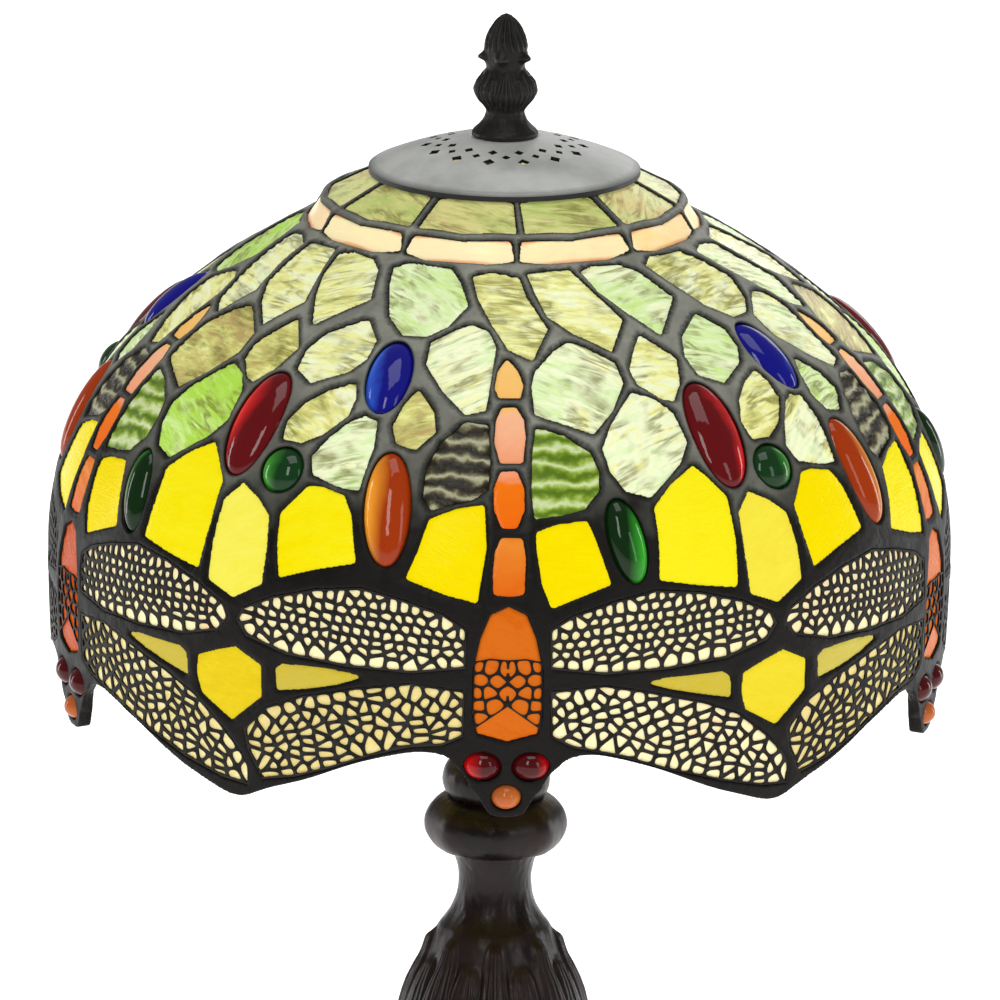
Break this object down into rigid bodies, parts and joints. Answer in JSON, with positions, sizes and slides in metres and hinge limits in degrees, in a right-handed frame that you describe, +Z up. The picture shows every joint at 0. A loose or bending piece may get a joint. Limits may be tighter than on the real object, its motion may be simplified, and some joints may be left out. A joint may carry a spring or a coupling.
{
  "type": "table lamp",
  "caption": "Table lamp with a domed, scalloped stained glass dragonfly shade, vented cap and finial on a cast leaf-clad stem and round foot, with harp, socket and bulb inside.",
  "frame": {"origin": "centre of the foot's underside, on the surface the lamp stands on", "axes": "+Z up along the stem, -Y towards the front, +X to the right seen from the front"},
  "size_m": [0.3042, 0.3054, 0.478],
  "materials": {
    "bronze": "dark brown-black bronze patina, semi gloss",
    "cap_pewter": "matt pewter grey",
    "finial_bronze": "dark brown-grey cast metal, matt",
    "solder": "dark patinated solder, satin",
    "wing_metal": "black patinated pierced brass",
    "brass": "bright brass",
    "steel": "zinc plated steel",
    "iron": "raw cast iron",
    "felt": "dark green felt",
    "black_plastic": "black moulded plastic",
    "card": "fibre insulator",
    "bulb_glass": "frosted glass",
    "glass_green": "streaky yellow-green art glass",
    "glass_striped": "striped green and brown art glass",
    "glass_yellow": "bright yellow art glass",
    "glass_pale_yellow": "pale yellow art glass",
    "glass_band": "peach and yellow art glass",
    "glass_orange": "orange art glass",
    "glass_cream": "cream art glass",
    "jewel_red": "deep red pressed glass",
    "jewel_blue": "cobalt blue pressed glass",
    "jewel_amber": "amber pressed glass",
    "jewel_green": "dark green pressed glass"
  },
  "bodies": {
    "base": {"felt_pad": "felt", "foot_casting": "bronze", "cord_bushing": "black_plastic", "foot_weight": "iron", "weight_washer": "steel", "weight_nut": "steel", "threaded_pipe": "steel", "stem_casting": "bronze", "knop": "bronze", "stem_cup": "bronze", "check_ring": "brass", "harp_saddle": "brass", "harp": "brass", "harp_seat": "brass", "socket_cap": "brass", "socket_shell": "brass", "socket_insulator": "card", "screw_shell": "brass", "socket_block": "black_plastic", "centre_contact": "brass"},
    "switch": {"switch_shaft": "brass", "switch_knob": "black_plastic"},
    "bulb": {"bulb_glass": "bulb_glass", "bulb_base": "brass", "bulb_contact": "steel", "bulb_filament": "steel"},
    "front_ferrule": {"front_ferrule": "brass"},
    "rear_ferrule": {"rear_ferrule": "brass"},
    "seat_washer": {"seat_washer": "brass"},
    "shade": {"solder_lattice": "solder", "aperture_ring": "brass", "spider_wheel": "brass", "heat_cap": "cap_pewter", "green_field_panes": "glass_green", "striped_panes": "glass_striped", "yellow_petal_panes": "glass_yellow", "pale_petal_panes": "glass_pale_yellow", "wing_wedge_panes": "glass_pale_yellow", "hexagon_panes": "glass_yellow", "orange_band_panes": "glass_band", "crown_panes": "glass_green", "tail_panes": "glass_orange", "thorax_glass": "glass_orange", "thorax_filigree": "wing_metal", "upper_wing_glass": "glass_cream", "upper_wing_filigree": "wing_metal", "lower_wing_glass": "glass_cream", "lower_wing_filigree": "wing_metal", "red_jewels": "jewel_red", "blue_jewels": "jewel_blue", "amber_jewels": "jewel_amber", "green_oval_jewels": "jewel_green", "green_round_jewels": "jewel_green", "eye_jewels": "jewel_red", "chin_jewels": "jewel_amber"},
    "finial": {"finial": "finial_bronze"}
  },
  "joints": [
    {"name": "knob_turn", "type": "hinge", "parent": "base", "child": "switch", "pos_m": [0.0175, 0, 0.252], "axis": [1, 0, 0], "continuous": true},
    {"name": "bulb_turn", "type": "hinge", "parent": "base", "child": "bulb", "pos_m": [0, 0, 0.275], "axis": [0, 0, 1], "continuous": true},
    {"name": "front_ferrule_lift", "type": "slide", "parent": "base", "child": "front_ferrule", "axis": [0, 0, 1], "range_m": [0, 0.012]},
    {"name": "rear_ferrule_lift", "type": "slide", "parent": "base", "child": "rear_ferrule", "axis": [0, 0, 1], "range_m": [0, 0.012]},
    {"name": "shade_turn", "type": "hinge", "parent": "base", "child": "seat_washer", "pos_m": [0, 0, 0.4193], "axis": [0, 0, 1], "continuous": true},
    {"name": "shade_lift", "type": "slide", "parent": "seat_washer", "child": "shade", "axis": [0, 0, 1], "range_m": [0, 0.21]},
    {"name": "finial_turn", "type": "hinge", "parent": "shade", "child": "finial", "pos_m": [0, 0, 0.4368], "axis": [0, 0, 1], "continuous": true}
  ]
}
